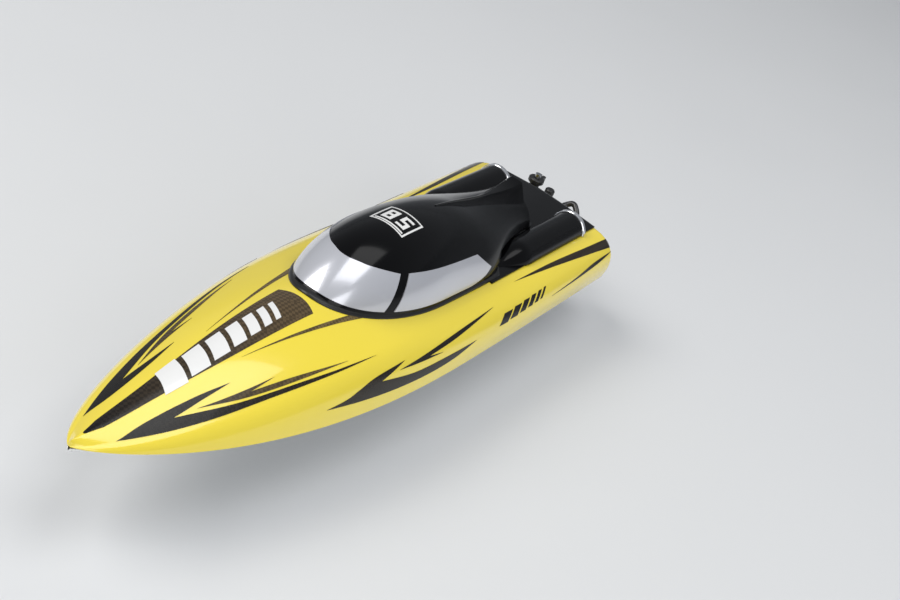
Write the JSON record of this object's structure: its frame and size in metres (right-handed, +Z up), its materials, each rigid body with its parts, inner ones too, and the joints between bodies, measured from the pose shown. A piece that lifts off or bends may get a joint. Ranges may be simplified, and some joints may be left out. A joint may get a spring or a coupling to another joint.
{
  "type": "radio-controlled racing boat",
  "caption": "Deep-V model speedboat with a lift-off canopy hatch, submerged propeller drive, offset rudder, trim tabs and water-cooled motor inside.",
  "frame": {"origin": "on the keel line, midway between the stem and the transom, where a display cradle would hold the hull", "axes": "+X to port, +Y aft, +Z up"},
  "size_m": [0.1588, 0.6498, 0.147],
  "materials": {
    "hull_white": "gloss moulded white",
    "hull_yellow": "gloss lacquered yellow",
    "black_gloss": "gloss moulded black",
    "window_silver": "pearl silver gloss",
    "black_plastic": "fine-grained black plastic",
    "rim_silver": "bright trim",
    "seal_rubber": "matt black rubber",
    "steel": "turned steel",
    "aluminium": "satin anodised",
    "jacket_blue": "blue anodised aluminium",
    "brass": "turned brass",
    "battery_wrap": "blue shrink wrap",
    "strap": "woven hook-and-loop strap",
    "foam": "closed-cell foam",
    "hose": "black silicone hose",
    "servo_case": "moulded black",
    "switch_red": "moulded red",
    "servo_white": "moulded white nylon"
  },
  "bodies": {
    "hull": {"hull_bottom": "hull_white", "deck_shell": "hull_yellow", "rear_deck_cover": "black_gloss", "engine_pod_port": "black_gloss", "engine_pod_starboard": "black_gloss", "pod_rims": "rim_silver", "hatch_seal": "seal_rubber", "magnet_bar": "black_plastic", "deck_magnets": "steel", "motor": "steel", "motor_mount": "aluminium", "motor_screws": "steel", "cooling_jacket": "jacket_blue", "speed_controller": "black_plastic", "radio_receiver": "black_plastic", "steering_servo": "servo_case", "servo_mounts": "black_plastic", "equipment_tray": "black_plastic", "battery_pack": "battery_wrap", "battery_strap": "strap", "stuffing_tube": "brass", "drive_strut": "aluminium", "strut_bush": "brass", "rudder_bracket": "black_plastic", "pushrod_boot": "seal_rubber", "trim_tab_hinges": "black_plastic", "trim_tab_pins": "steel", "transom_screws": "steel", "water_outlet": "brass", "water_inlet": "brass", "water_pickup": "brass", "pickup_hose": "hose", "inlet_hose": "hose", "outlet_hose": "hose", "foam_float_port": "foam", "foam_float_starboard": "foam", "power_switch": "black_plastic"},
    "hatch": {"canopy": "black_gloss", "windshield": "window_silver", "side_window_port": "window_silver", "side_window_starboard": "window_silver", "hatch_magnets": "steel"},
    "drive_line": {"drive_shaft": "steel", "shaft_coupler": "aluminium", "motor_shaft": "steel", "drive_dog": "steel", "propeller": "black_plastic", "prop_nut": "steel"},
    "rudder": {"rudder_blade": "black_plastic", "rudder_tiller": "black_plastic", "rudder_pivot_pin": "steel"},
    "servo_output": {"servo_output_shaft": "steel", "servo_horn": "servo_white", "horn_screw": "steel"},
    "pushrod": {"pushrod": "steel"},
    "trim_tab_port": {"trim_tab_port": "steel"},
    "trim_tab_starboard": {"trim_tab_starboard": "steel"},
    "switch_slider": {"switch_slider": "switch_red"},
    "drain_plug": {"drain_plug": "seal_rubber"}
  },
  "joints": [
    {"name": "hatch_lift", "type": "slide", "parent": "hull", "child": "hatch", "axis": [0, 0, 1], "range_m": [0, 0.08]},
    {"name": "propeller_spin", "type": "hinge", "parent": "hull", "child": "drive_line", "pos_m": [0, 0.3, 0.009], "axis": [0, 0.9962, -0.0872], "continuous": true},
    {"name": "rudder_swing", "type": "hinge", "parent": "hull", "child": "rudder", "pos_m": [-0.026, 0.331, 0.04], "axis": [0, 0, 1], "range_deg": [-30, 30]},
    {"name": "servo_turn", "type": "hinge", "parent": "hull", "child": "servo_output", "pos_m": [-0.026, 0.172, 0.05], "axis": [0, 0, 1], "range_deg": [-30.5, 30.5]},
    {"name": "pushrod_pivot", "type": "hinge", "parent": "servo_output", "child": "pushrod", "pos_m": [-0.01, 0.172, 0.055], "axis": [0, 0, 1], "range_deg": [-30.5, 30.5]},
    {"name": "trim_tab_port_tilt", "type": "hinge", "parent": "hull", "child": "trim_tab_port", "pos_m": [0.053, 0.305, 0.0244], "axis": [0.9309, 0, 0.3653], "range_deg": [-15, 10]},
    {"name": "trim_tab_starboard_tilt", "type": "hinge", "parent": "hull", "child": "trim_tab_starboard", "pos_m": [-0.053, 0.305, 0.0244], "axis": [0.9309, 0, -0.3653], "range_deg": [-15, 10]},
    {"name": "switch_slide", "type": "slide", "parent": "hull", "child": "switch_slider", "axis": [0, 1, 0], "range_m": [0, 0.005]},
    {"name": "drain_plug_pull", "type": "slide", "parent": "hull", "child": "drain_plug", "axis": [0, 1, 0], "range_m": [0, 0.012]}
  ],
  "couplings": [
    {"joint": "servo_turn", "follows": "rudder_swing", "ratio": 1},
    {"joint": "pushrod_pivot", "follows": "rudder_swing", "ratio": -1}
  ]
}
